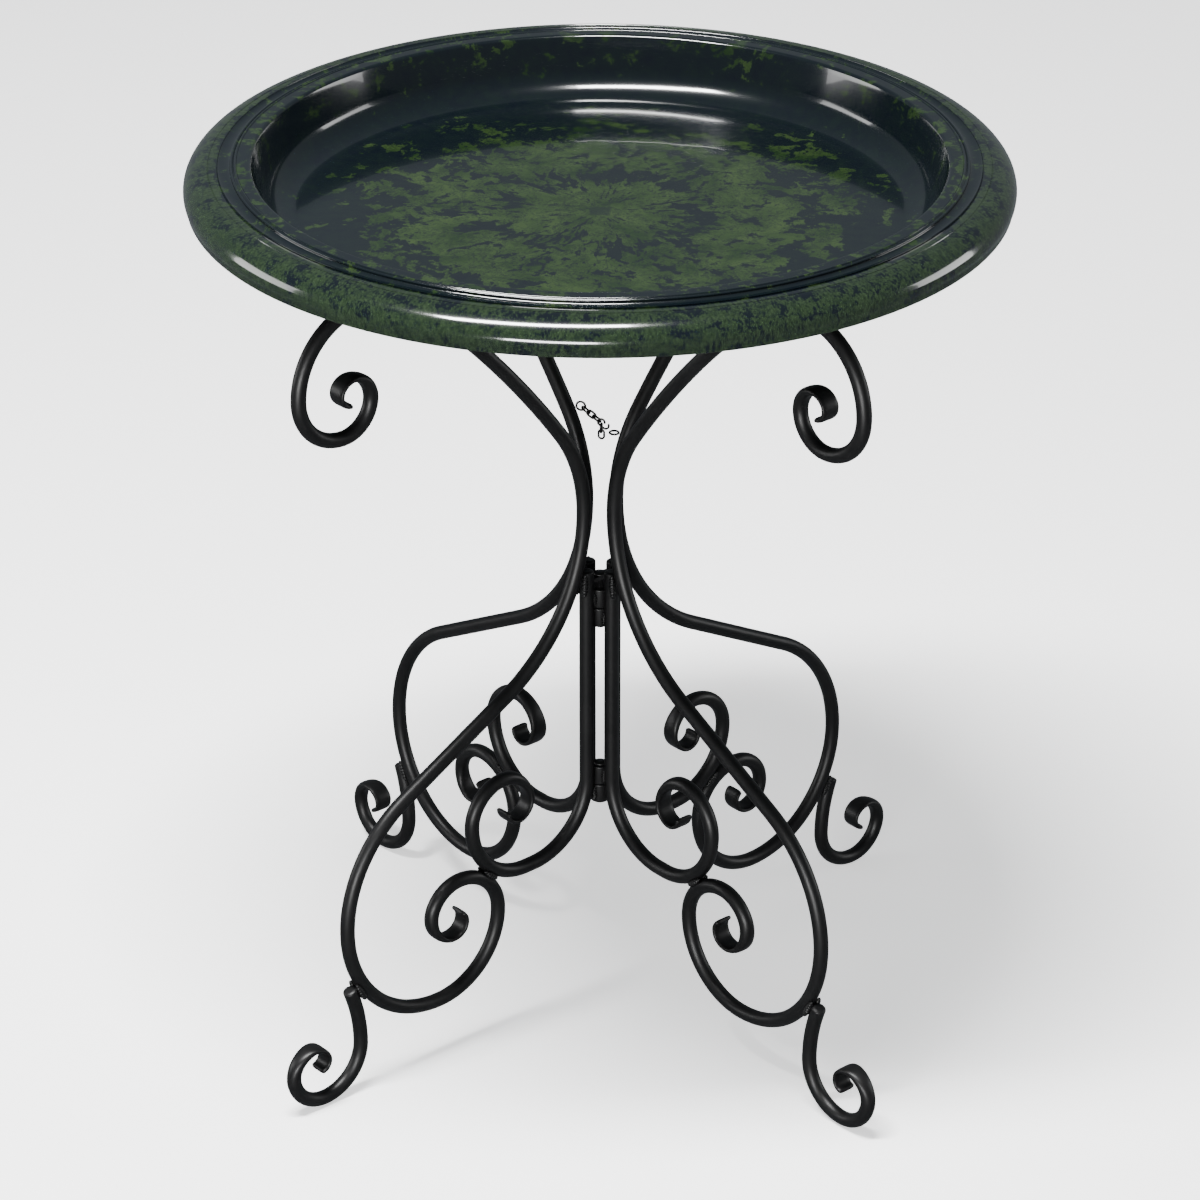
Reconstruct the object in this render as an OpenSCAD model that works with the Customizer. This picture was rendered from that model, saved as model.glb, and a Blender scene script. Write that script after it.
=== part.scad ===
// Bird-bath fountain: a glossy marbled bowl that rests on a folding stand
// of four wrought scroll legs. Two crossed frames turn on a centre hinge,
// and a short chain stops them when they stand square to each other.

/* [Bowl] */
// Outside diameter of the bowl
bowl_d = 508; // [480:1:620]
// Height of the bowl from its underside to the top of its lip
bowl_h = 42; // [36:0.5:56]
// Wall thickness of the bowl
bowl_wall = 4.5; // [3:0.1:5.5]
// Width of the flat lip, the channel and the rolled edge outside the inner wall
rim_w = 42; // [36:1:50]
// Height of the plain skirt under the rolled edge
skirt_h = 5; // [4:0.5:8]

/* [Bars] */
// Diameter of the round bar that every scroll is bent from
bar_d = 9.5; // [8:0.1:11.4]
// Width of the flattened end inside each curl
tip_w = 13.5; // [12:0.5:16]
// Thickness of the flattened end inside each curl
tip_t = 3.2; // [2.5:0.1:4.5]

/* [Legs] */
// Height of the waist, where the main scrolls come closest to the axis
waist_z = 350; // [335:1:420]
// Distance of a main scroll from the axis at its waist
waist_r = 13.5; // [12.5:0.1:17]
// Radius of the big outer turn of the lower scroll
loop_r = 90; // [75:1:110]
// Radius of the turn over the top of the arm
arm_r = 50; // [42:1:60]
// Radius of the outer turn of the inner scroll
inner_r = 44; // [38:1:50]
// Radius of the turn where a foot meets the ground
foot_r = 30; // [25:1:38]

/* [Hinge] */
// Outside diameter of the hinge knuckles
knuckle_d = 12.7; // [12:0.1:15]
// Height of one hinge knuckle
knuckle_h = 13; // [10:0.5:18]
// Diameter of the two hinge pins
pin_d = 6; // [5:0.1:7.2]
// Distance from the inner bars' lower turn down to the underside of the lower knuckles
low_hinge_drop = 20.3; // [15:0.1:26]
// Distance from the top of the inner bars down to the underside of the upper knuckles
high_hinge_drop = 41.5; // [37:0.5:60]

/* [Chain] */
// Wire diameter of the chain, its hook and its eyes
wire_d = 1.4; // [1.2:0.1:1.6]
// Length of one chain link over its ends
link_l = 7.4; // [7.2:0.1:8.2]
// Width of one chain link over its sides
link_w = 5; // [4.8:0.1:5.6]

/* [Hidden] */

steel = [0.09, 0.09, 0.10];
bare_steel = [0.35, 0.35, 0.37];
glaze = [0.12, 0.22, 0.14];

touch = 0.05;        // space left between pieces that rest on or are welded to each other
run = 0.3;           // space between a bar and the other frame's knuckle
pin_run = 0.05;      // radial running clearance of a pin in its knuckle
knuckle_gap = 0.4;   // end clearance between two knuckles

// Directions of the four legs. The frame of the front left leg lies along X.
az_front_left = 180;
az_back_right = 0;
az_front_right = 270;
az_back_left = 90;

function hundredth(x) = round(x * 100) / 100;

// ---- Bent bars: a path is a start [x, z, heading] and a list of bends.
// A bend is [radius, sweep]; a sweep above 0 turns left. A straight is [length, 0].

function move(p, bend, t = 1) =
  bend[1] == 0
    ? [p[0] + t * bend[0] * cos(p[2]), p[1] + t * bend[0] * sin(p[2]), p[2]]
    : let (
        side = sign(bend[1]),
        h = p[2] + t * bend[1],
        r = side * bend[0])
      [p[0] + r * (sin(h) - sin(p[2])), p[1] - r * (cos(h) - cos(p[2])), h];

// Where a path stands after its first n bends.
function after(p, bends, n) =
  n == 0 ? p : let (q = after(p, bends, n - 1)) move(q, bends[n - 1]);

// Centre of the bend that starts at p.
function centre(p, bend) =
  let (side = sign(bend[1]))
  [p[0] - side * bend[0] * sin(p[2]), p[1] + side * bend[0] * cos(p[2])];

bar_sides = 12;      // sides of a bar's section
bend_step = 12.5;    // largest turn between two sections, in degrees

function steps(bend) = max(1, ceil(abs(bend[1]) / bend_step));

// Places along the bends as [x, z, heading, flatness].
function round_places(p, bends) = [
  for (i = [0 : len(bends) - 1])
    let (q = after(p, bends, i), n = steps(bends[i]))
      for (k = [1 : n]) concat(move(q, bends[i], k / n), [0])];

// The hammered end goes from round to flat over its first half.
function tip_places(p, bends) =
  let (
    raw = round_places(p, bends),
    n = len(raw),
    rise = [for (i = [0 : n - 1]) min(1, 2.2 * (i + 1) / n)])
  [for (i = [0 : n - 1])
    [raw[i][0], raw[i][1], raw[i][2], rise[i] * rise[i] * (3 - 2 * rise[i])]];

function places(p, bends, tip_bends) = concat(
  round_places(p, bends),
  tip_places(after(p, bends, len(bends)), tip_bends));

// The same places walked the other way.
function backward(path) =
  let (n = len(path))
  [for (i = [n - 1 : -1 : 0]) [path[i][0], path[i][1], path[i][2] + 180, path[i][3]]];

function soft_square(a, power) =
  [sign(cos(a)) * pow(abs(cos(a)), power), sign(sin(a)) * pow(abs(sin(a)), power)];

function section(q) =
  let (
    t = bar_d + (tip_t - bar_d) * q[3],
    w = bar_d + (tip_w - bar_d) * q[3])
  [for (k = [0 : bar_sides - 1])
    let (s = soft_square(360 * k / bar_sides, 1 - 0.4 * q[3]))
      [q[0] - s[0] * t / 2 * sin(q[2]), q[1] + s[0] * t / 2 * cos(q[2]), s[1] * w / 2]];

// One bent bar: its section swept along the places.
module bar(path) {
  n = len(path);
  m = bar_sides;
  points = [for (q = path) for (v = section(q)) v];
  skin = [for (i = [0 : n - 2]) for (k = [0 : m - 1])
    let (a = i * m + k, b = i * m + (k + 1) % m)
      for (f = [[a, b + m, b], [a, a + m, b + m]]) f];
  start_cap = [for (k = [0 : m - 1]) k];
  end_cap = [for (k = [m - 1 : -1 : 0]) (n - 1) * m + k];
  polyhedron(points = points, faces = concat([start_cap], skin, [end_cap]), convexity = 10);
}

module in_leg(az) {
  color(steel)
    rotate([0, 0, az])
      rotate([90, 0, 0])
        children();
}

// ---- Main scroll: from the waist up to the arm that carries the bowl,
// and from the waist down to the big loop.

waist_up = [waist_r, waist_z, 90];
waist_down = [waist_r, waist_z, -90];

arm_bends = [[100, -36], [700, -8], [450, -8], [70, -38], [arm_r, -90], [32, -90], [22, -80]];
arm_tip = [[17, -80], [11, -70], [8, -70], [6.5, -70]];
loop_bends = [[125, 62], [94, 0], [loop_r, -62], [80, -45], [70, -45], [50, -90], [32, -90], [24, -60]];
loop_tip = [[19, -70], [13, -70], [10, -70], [7.5, -60]];

arm_top = after(waist_up, arm_bends, 4);
rest_z = arm_top[1] + bar_d / 2;         // height at which the bowl rests

module main_scroll(az) {
  upper = places(waist_up, arm_bends, arm_tip);
  lower = places(waist_down, loop_bends, loop_tip);
  in_leg(az)
    bar(concat(backward(upper), [concat(waist_down, [0])], lower));
}

// ---- Inner scroll: a straight bar that stands beside the hinge, welded in the
// crotch under the waist, and a curl that touches the top of the big loop.

column_r = (knuckle_d + bar_d) / 2 + run;
first_drop = loop_bends[0][0];
crotch_angle = acos(1 - (column_r + bar_d + touch - waist_r) / first_drop);
column_top_z = waist_z - first_drop * sin(crotch_angle);

turn_r = inner_r + 3;
turn_flat = 6;
small_turn = 6;                           // the bend at the top of the big loop's curl
curl_centre = centre(after(waist_down, loop_bends, small_turn), loop_bends[small_turn]);
curl_reach = inner_r + loop_bends[small_turn][0] + bar_d + touch;
inner_centre_x = column_r + turn_r + turn_flat;
inner_centre_z = curl_centre[1] + sqrt(pow(curl_reach, 2) - pow(curl_centre[0] - inner_centre_x, 2));
turn_z = inner_centre_z + turn_r - inner_r;

inner_start = [column_r, column_top_z, -90];
inner_bends = [[column_top_z - turn_z, 0], [turn_r, 90], [turn_flat, 0], [inner_r, 90], [27, 80]];
inner_tip = [[21, 80], [14, 80], [9, 70], [7, 60]];

module inner_scroll(az) {
  in_leg(az)
    bar(concat([concat(inner_start, [0])], places(inner_start, inner_bends, inner_tip)));
}

// ---- Foot scroll: welded along the outside of the big loop, it drops to the
// ground and curls up outward.

foot_weld = move(after(waist_down, loop_bends, 3), loop_bends[3], 0.6);
foot_out = bar_d + touch;
foot_start = [foot_weld[0] - foot_out * sin(foot_weld[2]),
              foot_weld[1] + foot_out * cos(foot_weld[2]),
              foot_weld[2] + 5];
foot_drop = foot_start[1] - foot_r - bar_d / 2;
foot_lead_turn = -90 - foot_start[2];
foot_lead_r = foot_drop / sin(foot_lead_turn);
foot_bends = [[foot_lead_r, foot_lead_turn], [foot_r, 90], [foot_r * 0.8, 80]];
foot_tip = [[17, 80], [11, 70], [8, 70], [6.5, 60]];

module foot_scroll(az) {
  in_leg(az)
    bar(concat([concat(foot_start, [0])], places(foot_start, foot_bends, foot_tip)));
}

// ---- Hinge: each frame has a knuckle in each pair, and the bridge plate ties
// the first frame's bars together above the upper pair.

low_hinge_z = hundredth(turn_z - low_hinge_drop);
high_hinge_z = hundredth(column_top_z - high_hinge_drop);
plate_t = 3;
plate_w = 6.4;
plate_z = high_hinge_z + 2 * knuckle_h + knuckle_gap + 6;
pin_head_d = 8.5;
pin_head_h = 2;

module knuckle(z) {
  color(steel)
    difference() {
      translate([0, 0, z])
        cylinder(d = knuckle_d, h = knuckle_h, $fn = 64);
      translate([0, 0, z - 1])
        cylinder(d = pin_d + 2 * pin_run, h = knuckle_h + 2, $fn = 64);
    }
}

module pin(z_low, z_high) {
  color(bare_steel) {
    translate([0, 0, z_low - touch - pin_head_h])
      cylinder(d = pin_head_d, h = pin_head_h, $fn = 48);
    translate([0, 0, z_low - touch - pin_head_h / 2])
      cylinder(d = pin_d, h = z_high - z_low + 2 * touch + pin_head_h, $fn = 64);
    translate([0, 0, z_high + touch])
      cylinder(d = pin_head_d, h = pin_head_h, $fn = 48);
  }
}

module hinge_pin_upper() {
  pin(high_hinge_z, plate_z + plate_t);
}

module hinge_pin_lower() {
  pin(low_hinge_z, low_hinge_z + 2 * knuckle_h + knuckle_gap);
}

module bridge_plate() {
  plate_l = 2 * (column_r - 1);
  color(steel)
    difference() {
      translate([-plate_l / 2, -plate_w / 2, plate_z])
        cube([plate_l, plate_w, plate_t]);
      for (side = [-1, 1])
        translate([side * column_r, 0, plate_z - 1])
          cylinder(d = bar_d + 2 * touch, h = plate_t + 2, $fn = 48);
      translate([0, 0, plate_z - 1])
        cylinder(d = pin_d + 2 * pin_run, h = plate_t + 2, $fn = 64);
    }
}

// ---- Bowl: one moulded shell with a flat floor, a curved wall, a lip with two
// fine beads, a shallow channel and a rolled edge that ends in a plain skirt.

function arc_pts(cx, cy, rx, ry, a0, a1, n) =
  [for (i = [0 : n]) let (a = a0 + (a1 - a0) * i / n) [cx + rx * cos(a), cy + ry * sin(a)]];

bowl_r = bowl_d / 2;
lip_r = bowl_r - rim_w;                   // inner edge of the lip
wall_turn = 22;                           // inside radius between floor and wall
wall_in = 26;                             // width of the inner wall seen from above
floor_r = lip_r - wall_in;
roll_w = 18;                              // width of the rolled edge
roll_h = 14;                              // drop of the rolled edge
channel_r = bowl_r - roll_w - 2;
bead_r = lip_r + 10;
bead_w = 1.6;

module bowl() {
  w = bowl_wall;
  inside = concat(
    [[0, w], [floor_r, w]],
    arc_pts(floor_r, w + wall_turn, wall_turn, wall_turn, -90, -20, 10),
    arc_pts(lip_r + 2.5, bowl_h - 2.5, 2.5, 2.5, 165, 90, 4),
    [[bead_r - bead_w, bowl_h]],
    arc_pts(bead_r, bowl_h - 0.2, bead_w / 2, 0.8, 180, 0, 4),
    arc_pts(bead_r + 1.5 * bead_w, bowl_h - 0.6, bead_w / 2, 0.8, 180, 0, 4),
    arc_pts((bead_r + channel_r) / 2 + 1, bowl_h - 1.4, (channel_r - bead_r) / 2 - 2, 1.6, 180, 360, 6),
    arc_pts(bowl_r - roll_w, bowl_h - 2 - roll_h, roll_w, roll_h, 100, -12, 14));
  skirt_r = bowl_r - 1.6;
  skirt_z = bowl_h - 2 - roll_h - 3 - skirt_h;
  skirt = [[skirt_r, skirt_z + skirt_h], [skirt_r, skirt_z], [skirt_r - w * 0.7, skirt_z]];
  outside = concat(
    arc_pts(bowl_r - roll_w, bowl_h - 2 - roll_h, roll_w - w, roll_h - w, -10, 95, 10),
    [[lip_r + 6, bowl_h - w]],
    arc_pts(lip_r + w + 3, bowl_h - w - 3, 3, 3, 90, 165, 3),
    arc_pts(floor_r, w + wall_turn, wall_turn + w, wall_turn + w, -20, -90, 10),
    [[0, 0]]);
  color(glaze)
    translate([0, 0, rest_z + touch])
      rotate_extrude($fn = 180)
        polygon(concat(inside, skirt, outside));
}

// ---- Chain: it hangs from an eye on the back left leg, and its hook reaches the
// eye on the back right leg. Two spare links hang from the hook.

eye_r = 2.9;                              // bend radius of an eye, at the middle of its wire
slack = 0.1;                              // play between two links
pitch = link_l - 2 * wire_d - 2 * slack;

left_bar = move(waist_up, arm_bends[0], 1);
right_bar = move(waist_up, arm_bends[0], 0.7);
span = [right_bar[0], -left_bar[0]];      // level, from the left bar to the right bar
span_az = atan2(span[1], span[0]);

// Level distance of an eye from the middle of a leaning bar that it is welded to.
// across is the cosine between the level way to the eye and the leg's own plane.
function eye_out(heading, across) =
  (bar_d / 2 + wire_d / 2 + eye_r + touch) / sqrt(1 - pow(across * cos(heading), 2));

left_out = eye_out(left_bar[2], sin(span_az));
right_out = eye_out(right_bar[2], cos(span_az));
left_eye = [left_out * cos(span_az), left_bar[0] + left_out * sin(span_az), left_bar[1]];
right_eye = [right_bar[0] - right_out * cos(span_az), -right_out * sin(span_az), right_bar[1]];
chain_run = right_eye - left_eye;
chain_slope = -atan2(chain_run[2], norm([chain_run[0], chain_run[1]]));

// The first link is bent round the wire of its eye, and the hook fills the
// rest of the way to the other eye, which it stops just short of.
hook_r = eye_r - 0.7;
hook_gap = 0.6;
first_link = eye_r + (link_l - link_w) / 2;
hook_end = hundredth(norm(chain_run) - eye_r - hook_gap - hook_r - wire_d);
hook_lead = (link_l - wire_d) / 2 - wire_d - slack + hook_r;   // last link to the hook's shank
shank_min = 3 * wire_d + 4 * slack - 2 * hook_r + wire_d / cos(chain_slope);
link_room = hook_end - shank_min - first_link - hook_lead;
link_count = 1 + 2 * floor(link_room / (2 * pitch));   // odd, so the last one lies flat
hook_start = hundredth(first_link + (link_count - 1) * pitch + hook_lead);

module wire_bend(r, a0, a1) {
  rotate([0, 0, a0])
    rotate_extrude(angle = a1 - a0, $fn = 64)
      translate([r, 0])
        circle(d = wire_d, $fn = 24);
}

module link() {
  half = (link_l - link_w) / 2;
  bend_r = (link_w - wire_d) / 2;
  for (side = [-1, 1]) {
    translate([side * half, 0, 0])
      wire_bend(bend_r, -side * 90, -side * 90 + 180);
    translate([-half, side * bend_r, 0])
      rotate([0, 90, 0])
        cylinder(d = wire_d, h = 2 * half, $fn = 24);
  }
}

module along_chain() {
  color(bare_steel)
    translate(left_eye)
      rotate([0, 0, span_az])
        rotate([0, chain_slope, 0])
          children();
}

module chain_eye_back_left() {
  color(steel)
    translate(left_eye)
      rotate([0, 0, span_az])
        rotate([90, 0, 0])
          wire_bend(eye_r, 0, 360);
}

module chain_eye_back_right() {
  color(steel)
    translate(right_eye)
      wire_bend(eye_r, 0, 360);
}

module chain_links() {
  along_chain()
    for (i = [0 : link_count - 1])
      translate([first_link + i * pitch, 0, 0])
        rotate([90 * (i % 2), 0, 0])
          link();
}

module chain_hook() {
  along_chain()
    rotate([90, 0, 0]) {
      translate([hook_start, 0, 0])
        mirror([1, 0, 0])
          wire_bend(hook_r, -90, 160);
      translate([hook_start, -hook_r, 0])
        rotate([0, 90, 0])
          cylinder(d = wire_d, h = hook_end - hook_start, $fn = 24);
      translate([hook_end, 0, 0])
        wire_bend(hook_r, -90, 70);
    }
}

module chain_tail() {
  drop = (link_l - wire_d) / 2 - (wire_d + slack) / cos(chain_slope);
  along_chain()
    translate([(hook_start + hook_end) / 2, 0, -hook_r])
      rotate([0, -chain_slope, 0])
        for (i = [0 : 1])
          translate([0, 0, -drop - i * pitch])
            rotate([0, 0, 90 * i])
              rotate([0, 90, 0])
                link();
}

bowl();
main_scroll(az_front_left);  // main_scroll_front_left
main_scroll(az_back_right);  // main_scroll_back_right
main_scroll(az_front_right);  // main_scroll_front_right
main_scroll(az_back_left);  // main_scroll_back_left
inner_scroll(az_front_left);  // inner_scroll_front_left
inner_scroll(az_back_right);  // inner_scroll_back_right
inner_scroll(az_front_right);  // inner_scroll_front_right
inner_scroll(az_back_left);  // inner_scroll_back_left
foot_scroll(az_front_left);  // foot_scroll_front_left
foot_scroll(az_back_right);  // foot_scroll_back_right
foot_scroll(az_front_right);  // foot_scroll_front_right
foot_scroll(az_back_left);  // foot_scroll_back_left
knuckle(high_hinge_z + knuckle_h + knuckle_gap);  // knuckle_a_upper
knuckle(high_hinge_z);  // knuckle_b_upper
knuckle(low_hinge_z + knuckle_h + knuckle_gap);  // knuckle_b_lower
knuckle(low_hinge_z);  // knuckle_a_lower
hinge_pin_upper();
hinge_pin_lower();
bridge_plate();
chain_eye_back_left();
chain_eye_back_right();
chain_links();
chain_hook();
chain_tail();
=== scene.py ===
import math

import bmesh
import bpy
from mathutils import Matrix, Vector


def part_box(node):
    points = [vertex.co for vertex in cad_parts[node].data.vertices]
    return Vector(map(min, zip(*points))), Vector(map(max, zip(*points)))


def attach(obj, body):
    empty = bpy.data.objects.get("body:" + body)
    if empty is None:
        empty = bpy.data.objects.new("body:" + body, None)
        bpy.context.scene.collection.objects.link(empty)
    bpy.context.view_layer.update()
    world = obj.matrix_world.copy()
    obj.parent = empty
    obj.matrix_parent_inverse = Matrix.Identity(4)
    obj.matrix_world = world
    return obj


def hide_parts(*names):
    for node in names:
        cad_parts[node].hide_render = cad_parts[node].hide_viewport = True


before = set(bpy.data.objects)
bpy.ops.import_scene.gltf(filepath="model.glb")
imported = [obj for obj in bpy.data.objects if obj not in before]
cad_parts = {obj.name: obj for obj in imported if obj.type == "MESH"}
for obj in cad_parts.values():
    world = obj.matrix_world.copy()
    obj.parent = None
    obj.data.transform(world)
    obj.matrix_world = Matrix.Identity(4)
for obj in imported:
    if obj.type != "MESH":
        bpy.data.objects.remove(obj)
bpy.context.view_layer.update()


# ---- Main scrolls
# The four tall scrolls of the stand are bent cold from round steel bar. Each runs
# from a curl under the bowl, over the arm and down through the waist to the big
# loop. Both ends are hammered flat before they are rolled up.

BAR_D = 0.0095
TIP_W = 0.0132
TIP_T = 0.0032
WAIST = (0.0135, 0.350)
BAR_SIDES = 28
RING_SPACING = 0.0022
TURN_STEP = 7
SOFT_END = 0.0014
SOFT_STEPS = 5
CUT_SHARE = 0.55
FLATTEN_RATE = 2.2
MAIN_SEEDS = (0, 3.7)

LEGS = {"front_left": 180, "back_right": 0, "front_right": 270, "back_left": 90}
LEG_BODY = {"front_left": "frame_a", "back_right": "frame_a",
            "front_right": "frame_b", "back_left": "frame_b"}

# A bend is (radius in mm, sweep in degrees); with no sweep it is a straight.
ARM = [(100, -36), (700, -8), (450, -8), (70, -38), (50, -90), (32, -90), (22, -80)]
ARM_TIP = [(17, -80), (11, -70), (8, -70), (6.5, -70)]
LOOP = [(125, 62), (94, 0), (90, -62), (80, -45), (70, -45), (50, -90), (32, -90), (24, -60)]
LOOP_TIP = [(19, -70), (13, -70), (10, -70), (7.5, -60)]


def bend_on(place, bend, part=1.0):
    """Where a bar stands after part of one bend, as (out, up, heading in degrees)."""
    out, up, heading = place
    size, sweep = bend[0] / 1000, bend[1]
    h0 = math.radians(heading)
    if sweep == 0:
        return (out + part * size * math.cos(h0), up + part * size * math.sin(h0), heading)
    r = math.copysign(size, sweep)
    h1 = math.radians(heading + part * sweep)
    return (out + r * (math.sin(h1) - math.sin(h0)),
            up - r * (math.cos(h1) - math.cos(h0)),
            heading + part * sweep)


def bend_all(place, bends):
    for bend in bends:
        place = bend_on(place, bend)
    return place


def bend_centre(place, bend):
    h = math.radians(place[2])
    r = math.copysign(bend[0] / 1000, bend[1])
    return (place[0] - r * math.sin(h), place[1] + r * math.cos(h))


def walk(place, bends):
    """Places along the bends, each with how far the bar has turned, from 0 to 1."""
    whole = sum(abs(sweep) for _, sweep in bends) or 1
    turned = 0
    rings = []
    for bend in bends:
        size, sweep = bend[0] / 1000, abs(bend[1])
        length = size if sweep == 0 else size * math.radians(sweep)
        count = max(math.ceil(length / RING_SPACING), math.ceil(sweep / TURN_STEP))
        rings += [(bend_on(place, bend, k / count), (turned + sweep * k / count) / whole)
                  for k in range(1, count + 1)]
        place = bend_on(place, bend)
        turned += sweep
    return rings


def smooth_rise(x):
    x = min(1, max(0, x))
    return x * x * (3 - 2 * x)


def scroll_end(place, bends, tip):
    """Rings of (place, flatness) along the round bar and then along its hammered end."""
    rings = [(p, 0) for p, _ in walk(place, bends)]
    flattened = walk(bend_all(place, bends), tip)
    return rings + [(p, smooth_rise(FLATTEN_RATE * t)) for p, t in flattened]


def turned_back(rings):
    return [((p[0], p[1], p[2] + 180), flat) for p, flat in reversed(rings)]


def leg_point(place, azimuth, aside=0.0):
    """A place in a leg's own upright plane, as a point of the whole stand."""
    a = math.radians(azimuth)
    return Vector((place[0] * math.cos(a) + aside * math.sin(a),
                   place[0] * math.sin(a) - aside * math.cos(a), place[1]))


def node(tree, kind, inputs=None, **settings):
    """Add a node, with its settings, and join or set its inputs."""
    made = tree.nodes.new(kind)
    for key, value in settings.items():
        setattr(made, key, value)
    for key, value in (inputs or {}).items():
        socket = made.inputs[key]
        if isinstance(value, bpy.types.NodeSocket):
            tree.links.new(value, socket)
        else:
            socket.default_value = value
    return made


def maths(tree, operation, a, b=0.0, c=0.0, clamp=False):
    made = node(tree, "ShaderNodeMath", {0: a, 1: b, 2: c},
                operation=operation, use_clamp=clamp)
    return made.outputs[0]


def vectors(tree, operation, a, b=(0, 0, 0), scale=None):
    made = node(tree, "ShaderNodeVectorMath", {0: a, 1: b}, operation=operation)
    if scale is not None:
        if isinstance(scale, bpy.types.NodeSocket):
            tree.links.new(scale, made.inputs["Scale"])
        else:
            made.inputs["Scale"].default_value = scale
    return made.outputs["Value" if operation in ("DOT_PRODUCT", "LENGTH") else "Vector"]


def new_geometry_tree(name, sockets):
    """Start a geometry tree whose inputs are (label, kind of socket, first value)."""
    tree = bpy.data.node_groups.new(name, "GeometryNodeTree")
    tree.interface.new_socket("Geometry", in_out="INPUT", socket_type="NodeSocketGeometry")
    for label, kind, value in sockets:
        socket = tree.interface.new_socket(label, in_out="INPUT", socket_type=kind)
        if value is not None:
            socket.default_value = value
    tree.interface.new_socket("Geometry", in_out="OUTPUT", socket_type="NodeSocketGeometry")
    return tree, tree.nodes.new("NodeGroupInput"), tree.nodes.new("NodeGroupOutput")


def close_tree(tree, end, geometry, finish):
    """End a tree with real geometry in the finish it was given."""
    real = node(tree, "GeometryNodeRealizeInstances", {"Geometry": geometry})
    painted = node(tree, "GeometryNodeSetMaterial",
                   {"Geometry": real.outputs[0], "Material": finish})
    tree.links.new(painted.outputs[0], end.inputs[0])


def made_by(tree, name, mesh, **values):
    """Run a node tree on a mesh and keep the result as a plain object."""
    base = bpy.data.objects.new(name + "_base", mesh)
    bpy.context.collection.objects.link(base)
    modifier = base.modifiers.new("Shape", "NODES")
    modifier.node_group = tree
    for socket in tree.interface.items_tree:
        if socket.in_out == "INPUT" and socket.name in values:
            modifier[socket.identifier] = values[socket.name]
    depsgraph = bpy.context.evaluated_depsgraph_get()
    plain = bpy.data.meshes.new_from_object(base.evaluated_get(depsgraph), depsgraph=depsgraph)
    bpy.data.objects.remove(base)
    piece = bpy.data.objects.new(name, plain)
    bpy.context.collection.objects.link(piece)
    return piece


def forging_tree():
    """Sweep a round section along the rings and hammer it flat where the rings say so."""
    tree, start, end = new_geometry_tree("Forged bar", [
        ("Bar Diameter", "NodeSocketFloat", BAR_D),
        ("Tip Width", "NodeSocketFloat", TIP_W),
        ("Tip Thickness", "NodeSocketFloat", TIP_T),
        ("Sides", "NodeSocketInt", BAR_SIDES),
        ("Hammer Depth", "NodeSocketFloat", 0.00022),
        ("Hammer Mark Scale", "NodeSocketFloat", 95.0),
        ("Hammer Seed", "NodeSocketFloat", 0.0),
        ("Finish", "NodeSocketMaterial", None)])
    diameter, width, thick = (start.outputs[label] for label in
                              ("Bar Diameter", "Tip Width", "Tip Thickness"))

    def read(name, kind="FLOAT"):
        return node(tree, "GeometryNodeInputNamedAttribute", {"Name": name},
                    data_type=kind).outputs["Attribute"]

    curve = node(tree, "GeometryNodeMeshToCurve", {"Mesh": start.outputs["Geometry"]})
    radius = maths(tree, "MULTIPLY", diameter, 0.5)
    ring = node(tree, "GeometryNodeCurvePrimitiveCircle",
                {"Resolution": start.outputs["Sides"], "Radius": radius}, mode="RADIUS")
    swept = node(tree, "GeometryNodeCurveToMesh",
                 {"Curve": curve.outputs[0], "Profile Curve": ring.outputs[0], "Fill Caps": True})
    centre = read("centre", "FLOAT_VECTOR")
    across = read("across", "FLOAT_VECTOR")
    aside = read("aside", "FLOAT_VECTOR")
    flat, taper = read("flat"), read("taper")
    place = node(tree, "GeometryNodeInputPosition").outputs[0]
    spoke = vectors(tree, "SUBTRACT", place, centre)
    power = maths(tree, "MULTIPLY_ADD", flat, -0.4, 1.0)

    def squared(direction):
        """How far out along a direction, from -1 to 1, boxier where the bar is flat."""
        part = maths(tree, "DIVIDE", vectors(tree, "DOT_PRODUCT", spoke, direction), radius)
        side = maths(tree, "SIGN", part)
        return maths(tree, "MULTIPLY", side,
                     maths(tree, "POWER", maths(tree, "ABSOLUTE", part), power))

    def half(full):
        grown = maths(tree, "MULTIPLY", flat, maths(tree, "SUBTRACT", full, diameter))
        return maths(tree, "MULTIPLY", maths(tree, "ADD", grown, diameter),
                     maths(tree, "MULTIPLY", taper, 0.5))

    up = vectors(tree, "SCALE", across,
                 scale=maths(tree, "MULTIPLY", squared(across), half(thick)))
    out = vectors(tree, "SCALE", aside,
                  scale=maths(tree, "MULTIPLY", squared(aside), half(width)))
    away = vectors(tree, "ADD", up, out)
    marks = node(tree, "ShaderNodeTexNoise", {
        "Vector": place, "W": start.outputs["Hammer Seed"],
        "Scale": start.outputs["Hammer Mark Scale"], "Detail": 1.0}, noise_dimensions="4D")
    strength = maths(tree, "MULTIPLY_ADD", flat, 0.85, 0.15)
    dent = maths(tree, "MULTIPLY", maths(tree, "MULTIPLY", marks.outputs["Fac"], strength),
                 start.outputs["Hammer Depth"])
    inward = vectors(tree, "SCALE", vectors(tree, "NORMALIZE", away),
                     scale=maths(tree, "MULTIPLY", dent, -1.0))
    final = vectors(tree, "ADD", vectors(tree, "ADD", centre, away), inward)
    moved = node(tree, "GeometryNodeSetPosition",
                 {"Geometry": swept.outputs[0], "Position": final})
    smooth = node(tree, "GeometryNodeSetShadeSmooth", {"Geometry": moved.outputs[0]})
    close_tree(tree, end, smooth.outputs[0], start.outputs["Finish"])
    return tree


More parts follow.
